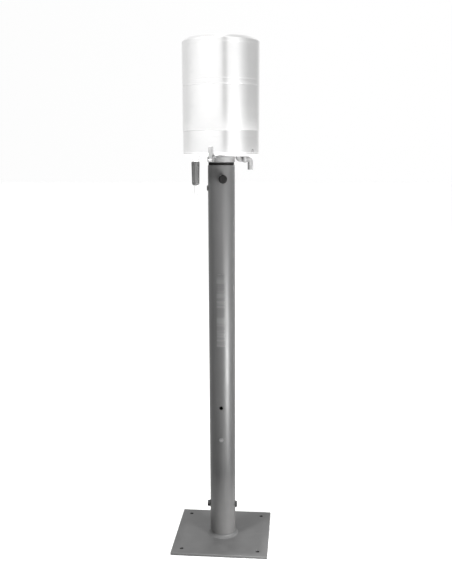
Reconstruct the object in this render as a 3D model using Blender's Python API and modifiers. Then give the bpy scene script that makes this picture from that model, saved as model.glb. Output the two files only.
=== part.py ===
"""Post-mounted manual rain gauge: base plate and stub, tube post, swivelling head with latch,
drain cock and overflow, lift-off housing, lift-off collector with strainer, and a lift-out reservoir.

Metres, +Z up, origin at the centre of the base plate's underside. The front is -Y.
An azimuth is measured about Z from the front, positive towards +X.
"""
import math

import bmesh
import bpy
from mathutils import Matrix, Vector

MM = 0.001
GAP = 0.3                      # running and seating gap between touching pieces, mm

# stand
PLATE = 227.0
PLATE_T = 6.0
ANCHOR_R = 4.5
ANCHOR_XY = 90.0
POST_R = 30.6
POST_WALL = 2.9
POST_BOTTOM = 12.3
POST_TOP = 901.5
STUB_TOP = 130.0
BOLT_Z = 80.6
BOLT_R = 4.0
HOLE_Z = 335.0
PLUG_Z = 256.0
LABEL_Z = (485.0, 655.0)
LABEL_W = 19.0
KNOB_Z, KNOB_AZ = 871.0, 10.0
KNOB_SEAT = 34.3              # radius at which the knob's underside stands
SCREW_Z, SCREW_AZ = 850.0, -85.0

# head
HEAD_R = 86.7
DISC_R = 85.9
DISC_BOTTOM = 921.3
DISC_FLOOR = 925.0
LEDGE_Z = 927.7
PAN_BEVEL = 4.8
SPIGOT_BOTTOM = 815.0
BOSS_R = 31.0
BOSS_TOP, BOSS_BOTTOM = 921.0, 908.0
LATCH_AZ = -9.5
LATCH_Z = 913.0
LATCH_Y = -89.3
EAR_IN, EAR_OUT = 4.4, 5.8     # half-widths between and across the bracket's ears
COCK_X = -59.0
PIPE_X = (38.0, 66.0)
PIPE_Z = 914.6
PIPE_R = 6.0
PIPE_BEND = 6.6
PIPE_END = 891.5
CLIP_X = 54.0

# housing, collector and reservoir
SKIRT_BOTTOM = 928.0
SKIRT_TOP = 976.5
BARREL_TOP = 1073.4
SHELL_TOP = 1160.0
RIM_SHOULDER = 1168.5
RIM_TOP = 1175.0
MOUTH_R = 79.8
CONE_TOP = 1147.7
CONE_R = 7.0
CONE_Z = 1067.2
RES_R = 70.0
RES_BOTTOM = 940.0
RES_TOP = 1028.0

POST_IN = POST_R - POST_WALL
STUB_R = POST_IN - GAP
SKIRT_R = HEAD_R - 0.5
SKIRT_IN = HEAD_R - 2.0
TONGUE_R, TONGUE_IN = HEAD_R - 1.8, HEAD_R - 3.3     # joining tongues inside the barrel and the skirt
BARREL_IN = HEAD_R - 1.5
SHELL_IN = HEAD_R - 1.4
RIM_IN = HEAD_R - 1.7
LIP_R, LIP_IN = HEAD_R - 2.3, HEAD_R - 4.3           # the pan's upstand

ROUND_L, ROUND_M, ROUND_S = 36, 20, 12

for obj in list(bpy.data.objects):
    bpy.data.objects.remove(obj, do_unlink=True)

parts = bpy.data.collections.new("manual_rain_gauge")
cutters = bpy.data.collections.new("cutters")
for coll in (parts, cutters):
    bpy.context.scene.collection.children.link(coll)


def material(name, colour, roughness, metallic):
    mat = bpy.data.materials.new(name)
    mat.use_nodes = True
    bsdf = mat.node_tree.nodes["Principled BSDF"]
    bsdf.inputs["Base Color"].default_value = (*colour, 1.0)
    bsdf.inputs["Roughness"].default_value = roughness
    bsdf.inputs["Metallic"].default_value = metallic
    return mat


STAINLESS = material("stainless", (0.82, 0.82, 0.83), 0.24, 1.0)
POST_PAINT = material("post_paint", (0.24, 0.24, 0.245), 0.36, 0.0)
PLATE_PAINT = material("plate_paint", (0.21, 0.21, 0.212), 0.6, 0.0)
ZINC = material("zinc", (0.55, 0.55, 0.56), 0.42, 1.0)
DARK_STEEL = material("dark_steel", (0.09, 0.09, 0.095), 0.45, 1.0)
RUBBER = material("black_rubber", (0.02, 0.02, 0.02), 0.75, 0.0)
PLASTIC = material("grey_plastic", (0.12, 0.12, 0.125), 0.5, 0.0)
LABEL = material("label_film", (0.3, 0.3, 0.3), 0.4, 0.0)

pivots = {}


def pivot(name, at=(0.0, 0.0, 0.0)):
    empty = bpy.data.objects.new(name, None)
    empty.location = Vector(at) * MM
    parts.objects.link(empty)
    pivots[name] = empty
    return empty


def place(name, mesh, at, rot, mat, body):
    obj = bpy.data.objects.new(name, mesh)
    obj.rotation_euler = [math.radians(a) for a in rot]
    obj.location = Vector(at) * MM
    if mat:
        mesh.materials.append(mat)
        parts.objects.link(obj)
    else:
        obj.hide_render = True
        obj.display_type = "WIRE"
        cutters.objects.link(obj)
    if body:
        obj.parent = pivots[body]
        obj.location = Vector(at) * MM - pivots[body].location
    return obj


def lathe(name, profile, mat=None, body=None, at=(0, 0, 0), rot=(0, 0, 0), closed=True, steps=ROUND_L):
    """Turn a profile of (radius, height) about local Z; heights count from the piece's own origin."""
    bm = bmesh.new()
    verts = [bm.verts.new((r * MM, 0.0, z * MM)) for r, z in profile]
    pairs = list(zip(verts, verts[1:]))
    if closed:
        pairs.append((verts[-1], verts[0]))
    for a, b in pairs:
        bm.edges.new((a, b))
    mesh = bpy.data.meshes.new(name)
    bm.to_mesh(mesh)
    bm.free()
    obj = place(name, mesh, at, rot, mat, body)
    mod = obj.modifiers.new("turn", "SCREW")
    mod.axis = "Z"
    mod.steps = mod.render_steps = steps
    mod.use_merge_vertices = True
    mod.merge_threshold = 1e-5
    mod.use_smooth_shade = steps > 6
    return obj


def solid(name, profile, mat=None, body=None, at=(0, 0, 0), rot=(0, 0, 0), steps=ROUND_M):
    return lathe(name, profile, mat, body, at, rot, False, steps)


def rod(name, r, low, high, mat=None, body=None, at=(0, 0, 0), rot=(0, 0, 0), steps=ROUND_S):
    """A plain cylinder along local Z from low to high."""
    bm = bmesh.new()
    bmesh.ops.create_cone(bm, cap_ends=True, segments=steps, radius1=r * MM, radius2=r * MM,
                          depth=(high - low) * MM, matrix=Matrix.Translation((0, 0, (low + high) / 2 * MM)))
    for face in bm.faces:
        face.smooth = len(face.verts) == 4
    mesh = bpy.data.meshes.new(name)
    bm.to_mesh(mesh)
    bm.free()
    return place(name, mesh, at, rot, mat, body)


def block(name, lo, hi, mat=None, body=None, at=(0, 0, 0), rot=(0, 0, 0)):
    """A box between two corners, in mm."""
    lo, hi = Vector(lo) * MM, Vector(hi) * MM
    bm = bmesh.new()
    bmesh.ops.create_cube(bm, size=1.0,
                          matrix=Matrix.Translation((lo + hi) / 2) @ Matrix.Diagonal((*(hi - lo), 1)))
    mesh = bpy.data.meshes.new(name)
    bm.to_mesh(mesh)
    bm.free()
    return place(name, mesh, at, rot, mat, body)


def from_curve(name, curve, mat, body, at, rot, smooth):
    """Turn a curve into a closed mesh object, so that it can be cut."""
    shape = bpy.data.objects.new(name + "_curve", curve)
    bpy.context.scene.collection.objects.link(shape)
    depsgraph = bpy.context.evaluated_depsgraph_get()
    mesh = bpy.data.meshes.new_from_object(shape.evaluated_get(depsgraph))
    mesh.name = name
    bpy.data.objects.remove(shape, do_unlink=True)
    bm = bmesh.new()
    bm.from_mesh(mesh)
    bmesh.ops.remove_doubles(bm, verts=bm.verts, dist=1e-6)
    bmesh.ops.recalc_face_normals(bm, faces=bm.faces)
    for face in bm.faces:
        face.smooth = smooth and len(face.verts) <= 4
    bm.to_mesh(mesh)
    bm.free()
    mesh.materials.clear()
    return place(name, mesh, at, rot, mat, body)


def flat_outline(name, outline, thick, mat=None, body=None, at=(0, 0, 0), rot=(90, 0, 0)):
    """A plate whose outline of (x, z) points stands upright, thick along local Z of the outline."""
    curve = bpy.data.curves.new(name, "CURVE")
    curve.dimensions = "2D"
    curve.fill_mode = "BOTH"
    curve.extrude = thick / 2 * MM
    spline = curve.splines.new("POLY")
    spline.points.add(len(outline) - 1)
    for point, (x, z) in zip(spline.points, outline):
        point.co = (x * MM, z * MM, 0.0, 1.0)
    spline.use_cyclic_u = True
    return from_curve(name, curve, mat, body, at, rot, False)


def arc_slab(name, r_in, r_out, width, low, high, mat, body, azimuth, steps):
    """A curved plate of the given width, centred on an azimuth: a ring kept only inside a block."""
    ring = lathe(name, [(r_in, high), (r_out, high), (r_out, low), (r_in, low)], mat, body,
                 rot=(0, 0, azimuth), steps=steps)
    keep = block("keep_" + name, (-width / 2, -r_out - 5, low - 5), (width / 2, -r_in / 2, high + 5),
                 rot=(0, 0, azimuth))
    boolean(ring, [keep], "INTERSECT")
    return ring


def rounded(points, radius, n=4):
    """Replace each inner right-angle corner of a path in the XZ plane by an arc."""
    out = [Vector((points[0][0], 0, points[0][1]))]
    for corner in zip(points, points[1:], points[2:]):
        p, q, r = (Vector((x, 0, z)) for x, z in corner)
        back, ahead = (p - q).normalized(), (r - q).normalized()
        centre = q + (back + ahead) * radius
        for i in range(n + 1):
            t = i / n * math.pi / 2.0
            out.append(centre - ahead * radius * math.cos(t) - back * radius * math.sin(t))
    out.append(Vector((points[-1][0], 0, points[-1][1])))
    return out


def wire(name, path, r, mat=None, body=None, at=(0, 0, 0), resolution=2):
    """A round bar of radius r along a path."""
    curve = bpy.data.curves.new(name, "CURVE")
    curve.dimensions = "3D"
    curve.bevel_depth = r * MM
    curve.bevel_resolution = resolution
    curve.use_fill_caps = True
    spline = curve.splines.new("POLY")
    spline.points.add(len(path) - 1)
    for point, co in zip(spline.points, path):
        point.co = (*(co * MM), 1.0)
    return from_curve(name, curve, mat, body, at, (0, 0, 0), True)


def boolean(target, tools, operation="DIFFERENCE"):
    for tool in tools:
        mod = target.modifiers.new(tool.name, "BOOLEAN")
        mod.operation = operation
        mod.solver = "EXACT"
        mod.object = tool


def radial(azimuth):
    """Rotation that points local +Z outwards along an azimuth."""
    return (90.0, 0.0, azimuth)


# bodies that move, each with its pivot on its joint's axis
pivot("pivot_head")
pivot("pivot_housing")
pivot("pivot_collector")
pivot("pivot_strainer")
pivot("pivot_reservoir")
pivot("pivot_sleeve", (COCK_X, 0, 0))
latch_turn = Matrix.Rotation(math.radians(LATCH_AZ), 4, "Z")
LATCH_AT = tuple(latch_turn @ Vector((0.0, LATCH_Y, LATCH_Z)))
pivot("pivot_latch", LATCH_AT)
KNOB_DIR = (math.sin(math.radians(KNOB_AZ)), -math.cos(math.radians(KNOB_AZ)))
KNOB_AT = (KNOB_DIR[0] * KNOB_SEAT, KNOB_DIR[1] * KNOB_SEAT, KNOB_Z)
pivot("pivot_knob", KNOB_AT)

# ---- stand ----
bolt_way = rod("cut_base_bolt", BOLT_R + 0.5, -40, 40, at=(0, 0, BOLT_Z), rot=(0, 90, 0))
plate = block("base_plate", (-PLATE / 2, -PLATE / 2, 0), (PLATE / 2, PLATE / 2, PLATE_T), PLATE_PAINT)
stub = lathe("add_stub", [(STUB_R - 3.5, STUB_TOP), (STUB_R, STUB_TOP), (STUB_R, POST_BOTTOM - GAP),
                          (POST_R, POST_BOTTOM - GAP), (POST_R + 1.6, 9.6), (POST_R + 7.0, PLATE_T),
                          (POST_R + 7.0, PLATE_T - 2), (STUB_R - 3.5, PLATE_T - 2)], steps=32)
anchors = [rod("cut_anchor_%d" % (i + 1), ANCHOR_R, -4, PLATE_T + 4, at=(sx * ANCHOR_XY, sy * ANCHOR_XY, 0))
           for i, (sx, sy) in enumerate(((1, -1), (1, 1), (-1, 1), (-1, -1)))]
boolean(plate, [stub], "UNION")
boolean(plate, anchors + [bolt_way])

post = lathe("post_tube", [(POST_IN, POST_TOP), (POST_R, POST_TOP), (POST_R, POST_BOTTOM), (POST_IN,
      POST_BOTTOM)],
             POST_PAINT, steps=32)
boolean(post, [
    bolt_way,
    rod("cut_post_hole", 4.5, 20, 40, at=(0, 0, HOLE_Z), rot=radial(0)),
    rod("cut_plug_hole", 4.5, 20, 40, at=(0, 0, PLUG_Z), rot=radial(0)),
    rod("cut_knob_hole", 5.3, 20, 40, at=(0, 0, KNOB_Z), rot=radial(KNOB_AZ)),
    rod("cut_screw_hole", 4.3, 20, 40, at=(0, 0, SCREW_Z), rot=radial(SCREW_AZ)),
])

bolt_end, head_seat = POST_R + 4.85, -POST_R - 1.85
bolt = solid("base_bolt", [(0, bolt_end), (BOLT_R, bolt_end), (BOLT_R, head_seat - 0.3), (0,
      head_seat - 0.3)],
             DARK_STEEL, at=(0, 0, BOLT_Z), rot=(0, 90, 0), steps=ROUND_S)
bolt_head = solid("add_bolt_head", [(0, head_seat), (7.5, head_seat), (7.5, head_seat - 5), (0,
      head_seat - 5)],
                  at=(0, 0, BOLT_Z), rot=(0, 90, 0), steps=6)
boolean(bolt, [bolt_head], "UNION")
for name, low, high in (("base_washer_left", -POST_R - 1.75, -POST_R - GAP),
                        ("base_washer_right", POST_R + GAP, POST_R + 1.55)):
    lathe(name, [(BOLT_R + GAP, high), (8.2, high), (8.2, low), (BOLT_R + GAP, low)], ZINC,
          at=(0, 0, BOLT_Z), rot=(0, 90, 0), steps=16)
nut = solid("base_nut", [(0, POST_R + 4.25), (7.5, POST_R + 4.25), (7.5, POST_R + 1.85), (0, POST_R + 1.85)],
            DARK_STEEL, at=(0, 0, BOLT_Z), rot=(0, 90, 0), steps=6)
boolean(nut, [rod("cut_nut", BOLT_R + GAP, 30, 38, at=(0, 0, BOLT_Z), rot=(0, 90, 0))])

solid("post_hole_plug", [(0, POST_R + 1.15), (4.2, POST_R + 1.05), (5.2, POST_R + GAP), (4.2, POST_R + GAP),
                         (4.2, POST_IN - 2.8), (0, POST_IN - 2.8)], PLASTIC,
      at=(0, 0, PLUG_Z), rot=radial(0), steps=16)
arc_slab("post_label", POST_R + GAP, POST_R + GAP + 0.4, LABEL_W, *LABEL_Z, LABEL, None, 0.0, 48)
lathe("post_top_seal", [(STUB_R + GAP, BOSS_BOTTOM - GAP), (29.4, BOSS_BOTTOM - GAP), (29.4, POST_TOP + GAP),
                        (STUB_R + GAP, POST_TOP + GAP)], RUBBER, steps=32)
boss = lathe("clamp_boss", [(5.3, 34.0), (9.4, 34.0), (9.4, 27.0), (5.3, 27.0)], POST_PAINT,
             at=(0, 0, KNOB_Z), rot=radial(KNOB_AZ), steps=ROUND_M)
boolean(boss, [rod("cut_boss", POST_R + GAP, KNOB_Z - 20, KNOB_Z + 20, steps=48)])
solid("side_set_screw", [(0, POST_R + 2.5), (5.0, POST_R + 2.5), (6.2, POST_R + 1.7), (6.2, POST_R + GAP),
                         (4.0, POST_R + GAP), (4.0, POST_IN), (0, POST_IN)], POST_PAINT, at=(0, 0, SCREW_Z),
      rot=radial(SCREW_AZ), steps=16)

# ---- clamp knob ----
solid("clamp_knob", [(0, 14.0), (7.6, 14.0), (9.6, 12.0), (9.6, 2.0), (8.0, 0.0), (5.0, 0.0),
                     (5.0, POST_IN - KNOB_SEAT), (0, POST_IN - KNOB_SEAT)], DARK_STEEL, "pivot_knob",
      at=KNOB_AT, rot=radial(KNOB_AZ), steps=16)

# ---- head ----
boss_az = (30, 150, 270)
boss_at = [(25.5 * math.sin(math.radians(a)), -25.5 * math.cos(math.radians(a)), 0) for a in boss_az]
boss_ways = [rod("cut_boss_screw_%d" % (i + 1), 2.3, 911, 927, at=p) for i, p in enumerate(boss_at)]
spigot = lathe("head_spigot", [(20, BOSS_TOP), (BOSS_R, BOSS_TOP), (BOSS_R, BOSS_BOTTOM), (STUB_R, BOSS_BOTTOM),
                               (STUB_R, SPIGOT_BOTTOM), (23.5, SPIGOT_BOTTOM), (23.5, 905), (20, 908)],
               ZINC, "pivot_head", steps=32)
boolean(spigot, boss_ways)

pan = solid("head_base_pan", [(0, DISC_FLOOR), (LIP_IN, DISC_FLOOR), (LIP_IN, 936), (LIP_R, 936),
                              (LIP_R, LEDGE_Z), (DISC_R, LEDGE_Z), (DISC_R, DISC_BOTTOM + PAN_BEVEL),
                              (DISC_R - PAN_BEVEL, DISC_BOTTOM), (0, DISC_BOTTOM)],
            STAINLESS, "pivot_head", steps=ROUND_L)
boolean(pan, boss_ways + [
    rod("cut_cock_way", 5.3, 915, 930, at=(COCK_X, 0, 0), steps=16),
    rod("cut_pipe_way", PIPE_R + 0.5, 915, 930, at=(PIPE_X[0], 0, 0), steps=16),
])
for i, p in enumerate(boss_at):
    solid("boss_screw_%d" % (i + 1), [(0, 929.3), (3.6, 929.3), (3.6, 925.3), (2.0, 925.3), (2.0, 912), (0,
          912)],
          DARK_STEEL, "pivot_head", at=p, steps=8)
for i, a in enumerate((0, 120, 240)):
    t = math.radians(a)
    rod("reservoir_pad_%d" % (i + 1), 6.0, DISC_FLOOR + GAP, RES_BOTTOM - GAP, RUBBER, "pivot_head",
        at=(55 * math.sin(t), -55 * math.cos(t), 0), steps=10)

lathe("drain_cock_body", [(2.8, 934), (5.0, 934), (5.0, 921), (10.0, 921), (10.0, 918), (7.0, 916.5), (7.0,
      909),
                          (5.0, 909), (5.0, 862), (2.8, 862)], STAINLESS, "pivot_head", at=(COCK_X, 0, 0),
      steps=16)
lock_nut = solid("drain_lock_nut", [(0, 930), (9.2, 930), (9.2, 925.3), (0, 925.3)], DARK_STEEL, "pivot_head",
                 at=(COCK_X, 0, 0), steps=6)
boolean(lock_nut, [rod("cut_lock_nut", 5.3, 924, 932, at=(COCK_X, 0, 0), steps=16)])
lathe("drain_spout", [(1.6, 868), (2.5, 868), (2.5, 836), (1.6, 836)], STAINLESS, "pivot_head",
      at=(COCK_X, 0, 0), steps=ROUND_S)

pipe_ends = [(PIPE_X[0], DISC_FLOOR + 1.5), (PIPE_X[0], PIPE_Z), (PIPE_X[1], PIPE_Z), (PIPE_X[1], PIPE_END)]
bore_ends = [(PIPE_X[0], DISC_FLOOR + 4), *pipe_ends[1:3], (PIPE_X[1], PIPE_END - 4)]
pipe = wire("overflow_pipe", rounded(pipe_ends, PIPE_BEND), PIPE_R, STAINLESS, "pivot_head")
boolean(pipe, [wire("cut_pipe_bore", rounded(bore_ends, PIPE_BEND), PIPE_R - 1.2)])
saddle = block("overflow_saddle", (CLIP_X - 3, -10, 907), (CLIP_X + 3, 10, DISC_BOTTOM - GAP), PLASTIC,
               "pivot_head")
boolean(saddle, [rod("cut_saddle", PIPE_R + 0.5, 48, 60, at=(0, 0, PIPE_Z), rot=(0, 90, 0), steps=16)])

ears = block("latch_bracket", (-EAR_OUT, LATCH_Y - 3.2, 909.6), (EAR_OUT, -66.0, BOSS_TOP), ZINC,
             "pivot_head",
             rot=(0, 0, LATCH_AZ))
boolean(ears, [
    block("cut_bracket_slot", (-EAR_IN, -95, 905), (EAR_IN, LATCH_Y + 4.1, 925), rot=(0, 0, LATCH_AZ)),
    block("cut_bracket_under", (-12, -81, 905), (12, -60, 918.5), rot=(0, 0, LATCH_AZ)),
    block("cut_bracket_middle", (-EAR_IN, LATCH_Y + 3.6, 905), (EAR_IN, -80, 918.5), rot=(0, 0, LATCH_AZ)),
    rod("cut_latch_pin", 1.8, -12, 12, at=LATCH_AT, rot=(0, 90, LATCH_AZ)),
])
rod("latch_pin", 1.5, -EAR_OUT - 0.6, EAR_OUT + 0.6, DARK_STEEL, "pivot_head", at=LATCH_AT, rot=(0, 90,
      LATCH_AZ), steps=10)

# ---- drain sleeve ----
lathe("drain_sleeve", [(5.3, 908.7), (9.0, 908.7), (9.3, 907.5), (9.0, 885), (8.5, 861), (7.2, 857.4), (4.6,
      856),
                       (2.8, 856), (2.8, 861.5), (5.3, 861.5)], PLASTIC, "pivot_sleeve", at=(COCK_X, 0, 0),
      steps=16)

# ---- latch lever ----
LEVER = [(-4.0, -1), (4.0, -1), (4.0, 14), (4.9, 18), (4.9, 27), (3.6, 29), (-3.6, 29), (-4.9, 27), (-4.9, 18),
         (-4.0, 14)]
lever = flat_outline("latch_lever", LEVER, 2.0, ZINC, "pivot_latch", at=LATCH_AT, rot=(90, 0, LATCH_AZ))
boolean(lever, [rod("add_latch_eye", 3.2, -3.95, 3.95, at=LATCH_AT, rot=(0, 90, LATCH_AZ))], "UNION")
boolean(lever, [rod("cut_latch_eye", 1.8, -12, 12, at=LATCH_AT, rot=(0, 90, LATCH_AZ))])

# ---- housing ----
lathe("housing_skirt", [(TONGUE_IN, 990), (TONGUE_R, 990), (TONGUE_R, SKIRT_TOP), (SKIRT_R, SKIRT_TOP),
                        (SKIRT_R, SKIRT_BOTTOM), (SKIRT_IN, SKIRT_BOTTOM), (SKIRT_IN, SKIRT_TOP - 3.5),
                        (TONGUE_IN, SKIRT_TOP - 2.0)], STAINLESS, "pivot_housing")
lathe("housing_barrel", [(BARREL_IN, BARREL_TOP), (HEAD_R, BARREL_TOP), (HEAD_R, SKIRT_TOP + GAP),
                         (BARREL_IN, SKIRT_TOP + GAP)], STAINLESS, "pivot_housing")
for i, a in enumerate((59, -121)):
    solid("skirt_rivet_%d" % (i + 1), [(0, SKIRT_R + 1.7), (2.4, SKIRT_R + 1.6), (3.6, SKIRT_R + 0.8), (3.6,
          SKIRT_R + GAP),
                                       (0, SKIRT_R + GAP)], ZINC, "pivot_housing", at=(0, 0, 933),
                                       rot=radial(a), steps=ROUND_S)
arc_slab("latch_keeper", SKIRT_R + GAP, SKIRT_R + 1.6, 8.4, 934, 940, ZINC, "pivot_housing", LATCH_AZ, 64)

# ---- collector ----
lathe("collector_shell", [(SHELL_IN, SHELL_TOP), (HEAD_R, SHELL_TOP), (HEAD_R, BARREL_TOP + GAP),
                          (TONGUE_R, BARREL_TOP + GAP), (TONGUE_R, 1060), (TONGUE_IN, 1060),
                          (TONGUE_IN, BARREL_TOP + 2.8), (SHELL_IN, BARREL_TOP + 4.3)], STAINLESS,
      "pivot_collector")
lathe("collector_rim", [(MOUTH_R, RIM_TOP), (MOUTH_R + 0.5, RIM_TOP), (HEAD_R, RIM_SHOULDER),
                        (HEAD_R, SHELL_TOP + GAP), (RIM_IN, SHELL_TOP + GAP), (RIM_IN, CONE_TOP + GAP),
                        (MOUTH_R, CONE_TOP + GAP)],
      STAINLESS, "pivot_collector")
lathe("funnel_cone", [(MOUTH_R, CONE_TOP), (RIM_IN, CONE_TOP), (RIM_IN, 1146.2), (81.2, 1146.2), (81.2,
      1139.5),
                      (CONE_R + 1.3, 1066.6), (CONE_R + 1.3, 1060), (CONE_R, 1060), (CONE_R, CONE_Z),
                      (MOUTH_R, 1140)], STAINLESS, "pivot_collector")
lathe("funnel_stem", [(5.5, 1064), (6.7, 1064), (6.7, 1016), (5.5, 1016)], STAINLESS, "pivot_collector",
      steps=ROUND_S)

# ---- strainer ----
strainer = solid("strainer", [(0, 1088), (2.5, 1087), (2.5, 1081.5), (12.6, 1078), (13.4, 1076.6), (12.4,
      1075.8),
                              (0, 1079)], ZINC, "pivot_strainer", steps=16)
boolean(strainer, [rod("cut_strainer_%d" % (i + 1), 1.5, 1070, 1085, steps=6,
                       at=(8 * math.cos(i * math.pi / 3), 8 * math.sin(i * math.pi / 3),
                           0)) for i in range(6)])

# ---- reservoir ----
can = solid("reservoir_can", [(0, RES_BOTTOM + 1.5), (RES_R - 1.5, RES_BOTTOM + 1.5), (RES_R - 1.5, RES_TOP),
                              (RES_R, RES_TOP), (RES_R, RES_BOTTOM), (0, RES_BOTTOM)], STAINLESS,
            "pivot_reservoir", steps=32)
boolean(can, [rod("cut_outlet_way", 4.3, 930, 950, at=(COCK_X, 0, 0))])
lathe("reservoir_lid", [(9.0, RES_TOP + 1.8), (72.0, RES_TOP + 1.8), (72.0, 1018), (RES_R + GAP, 1018),
                        (RES_R + GAP, RES_TOP + GAP), (9.0, RES_TOP + GAP)], STAINLESS, "pivot_reservoir",
      steps=32)
lathe("reservoir_outlet", [(1.5, 943.2), (6.0, 943.2), (6.0, 941.8), (4.0, 941.8), (4.0, 935), (2.5, 935),
                           (2.5, 927), (1.5, 927)], ZINC, "pivot_reservoir", at=(COCK_X, 0, 0), steps=ROUND_S)
handle_path = rounded([(-18, 1030.1), (-18, 1048), (18, 1048), (18, 1030.1)], 6.0)
for i, y in enumerate((-45, 45)):
    wire("reservoir_handle_%d" % (i + 1), handle_path, 1.8, ZINC, "pivot_reservoir", at=(0, y, 0),
         resolution=1)
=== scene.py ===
"""The looks of the post-mounted rain gauge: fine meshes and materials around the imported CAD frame.

Metres, +Z up, front at -Y. An azimuth is measured about Z from the front, positive towards +X.
"""
import math

import bmesh
import bpy
from mathutils import Matrix, Vector


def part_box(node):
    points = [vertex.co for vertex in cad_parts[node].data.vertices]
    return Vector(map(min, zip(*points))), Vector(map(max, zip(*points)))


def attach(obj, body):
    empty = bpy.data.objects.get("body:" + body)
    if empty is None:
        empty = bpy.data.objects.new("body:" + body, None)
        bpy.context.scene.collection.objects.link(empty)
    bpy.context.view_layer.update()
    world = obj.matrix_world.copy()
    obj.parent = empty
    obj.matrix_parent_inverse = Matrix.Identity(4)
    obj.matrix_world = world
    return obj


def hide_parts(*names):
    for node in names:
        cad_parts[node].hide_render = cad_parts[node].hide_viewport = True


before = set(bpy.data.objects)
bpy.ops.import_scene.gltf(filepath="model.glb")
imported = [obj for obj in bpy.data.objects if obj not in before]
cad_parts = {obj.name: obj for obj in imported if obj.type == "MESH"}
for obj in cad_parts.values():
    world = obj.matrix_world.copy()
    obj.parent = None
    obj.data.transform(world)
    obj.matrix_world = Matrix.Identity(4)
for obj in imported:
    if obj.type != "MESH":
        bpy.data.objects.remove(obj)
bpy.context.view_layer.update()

MM = 0.001
WIDE, FINE, MEDIUM, SMALL = 192, 160, 72, 40     # segments round a turned piece
EDGE = 0.35 * MM                                 # usual broken edge
CORNER_STEPS = 4                                 # segments in a broken edge
CORNER_SHARE = 0.42                              # most of a side that one broken edge may take
SMOOTH_ANGLE, CUT_SMOOTH_ANGLE = 40.0, 32.0      # steeper edges stay sharp, degrees

# ---------------------------------------------------------------- camera
SENSOR = 36.0
CAMERA_AT = (0.1733, -1.7511, 0.9242)
CAMERA_PAN, CAMERA_PITCH, CAMERA_ROLL = 5.34, -10.164, -0.218     # degrees
CAMERA_LENS = 47.12


def add_camera():
    data = bpy.data.cameras.new("camera")
    data.sensor_fit = "VERTICAL"
    data.sensor_height = SENSOR
    data.lens = CAMERA_LENS
    data.clip_end = 60.0
    camera = bpy.data.objects.new("camera", data)
    bpy.context.scene.collection.objects.link(camera)
    turn = (Matrix.Rotation(math.radians(CAMERA_PAN), 4, "Z")
            @ Matrix.Rotation(math.radians(90.0 + CAMERA_PITCH), 4, "X")
            @ Matrix.Rotation(math.radians(CAMERA_ROLL), 4, "Z"))
    camera.matrix_world = Matrix.Translation(CAMERA_AT) @ turn
    bpy.context.scene.camera = camera


# ---------------------------------------------------------------- materials
class Nodes:
    """A shorthand for building one material's node tree."""

    def __init__(self, name):
        self.mat = bpy.data.materials.new(name)
        self.mat.use_nodes = True
        self.tree = self.mat.node_tree
        self.bsdf = self.tree.nodes["Principled BSDF"]
        self.coords = self.tree.nodes.new("ShaderNodeTexCoord").outputs["Object"]

    def new(self, kind, **values):
        node = self.tree.nodes.new(kind)
        for key, value in values.items():
            setattr(node, key, value)
        return node

    def link(self, out, socket):
        self.tree.links.new(out, socket)

    def noise(self, scale, detail=3.0, roughness=0.55, stretch=(1, 1, 1)):
        mapping = self.new("ShaderNodeMapping")
        mapping.inputs["Scale"].default_value = stretch
        self.link(self.coords, mapping.inputs["Vector"])
        node = self.new("ShaderNodeTexNoise")
        node.inputs["Scale"].default_value = scale
        node.inputs["Detail"].default_value = detail
        node.inputs["Roughness"].default_value = roughness
        self.link(mapping.outputs["Vector"], node.inputs["Vector"])
        return node.outputs["Fac"]

    def cells(self, scale):
        node = self.new("ShaderNodeTexVoronoi")
        node.inputs["Scale"].default_value = scale
        self.link(self.coords, node.inputs["Vector"])
        return node.outputs["Distance"]

    def height(self):
        split = self.new("ShaderNodeSeparateXYZ")
        self.link(self.coords, split.inputs["Vector"])
        return split.outputs["Z"]

    def remap(self, value, low, high, to_low, to_high):
        node = self.new("ShaderNodeMapRange")
        node.inputs["From Min"].default_value = low
        node.inputs["From Max"].default_value = high
        node.inputs["To Min"].default_value = to_low
        node.inputs["To Max"].default_value = to_high
        self.link(value, node.inputs["Value"])
        return node.outputs["Result"]

    def mix(self, factor, dark, light):
        node = self.new("ShaderNodeMix", data_type="RGBA")
        self.link(factor, node.inputs["Factor"])
        for socket, colour in ((node.inputs["A"], dark), (node.inputs["B"], light)):
            if isinstance(colour, tuple):
                socket.default_value = (*colour, 1.0)
            else:
                self.link(colour, socket)
        return node.outputs["Result"]

    def multiply(self, a, b):
        node = self.new("ShaderNodeMath", operation="MULTIPLY")
        self.link(a, node.inputs[0])
        self.link(b, node.inputs[1])
        return node.outputs["Value"]

    def bump(self, value, strength, distance, after=None):
        node = self.new("ShaderNodeBump")
        node.inputs["Strength"].default_value = strength
        node.inputs["Distance"].default_value = distance
        self.link(value, node.inputs["Height"])
        if after is not None:
            self.link(after, node.inputs["Normal"])
        return node.outputs["Normal"]

    def finish(self, colour=None, rough=None, normal=None, metallic=0.0, specular=0.5):
        if colour is not None:
            self.link(colour, self.bsdf.inputs["Base Color"])
        if rough is not None:
            self.link(rough, self.bsdf.inputs["Roughness"])
        if normal is not None:
            self.link(normal, self.bsdf.inputs["Normal"])
        self.bsdf.inputs["Metallic"].default_value = metallic
        self.bsdf.inputs["Specular IOR Level"].default_value = specular
        return self.mat


def grey(value, warm=0.0):
    return (value * (1 + warm), value, value * (1 - warm))


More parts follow.
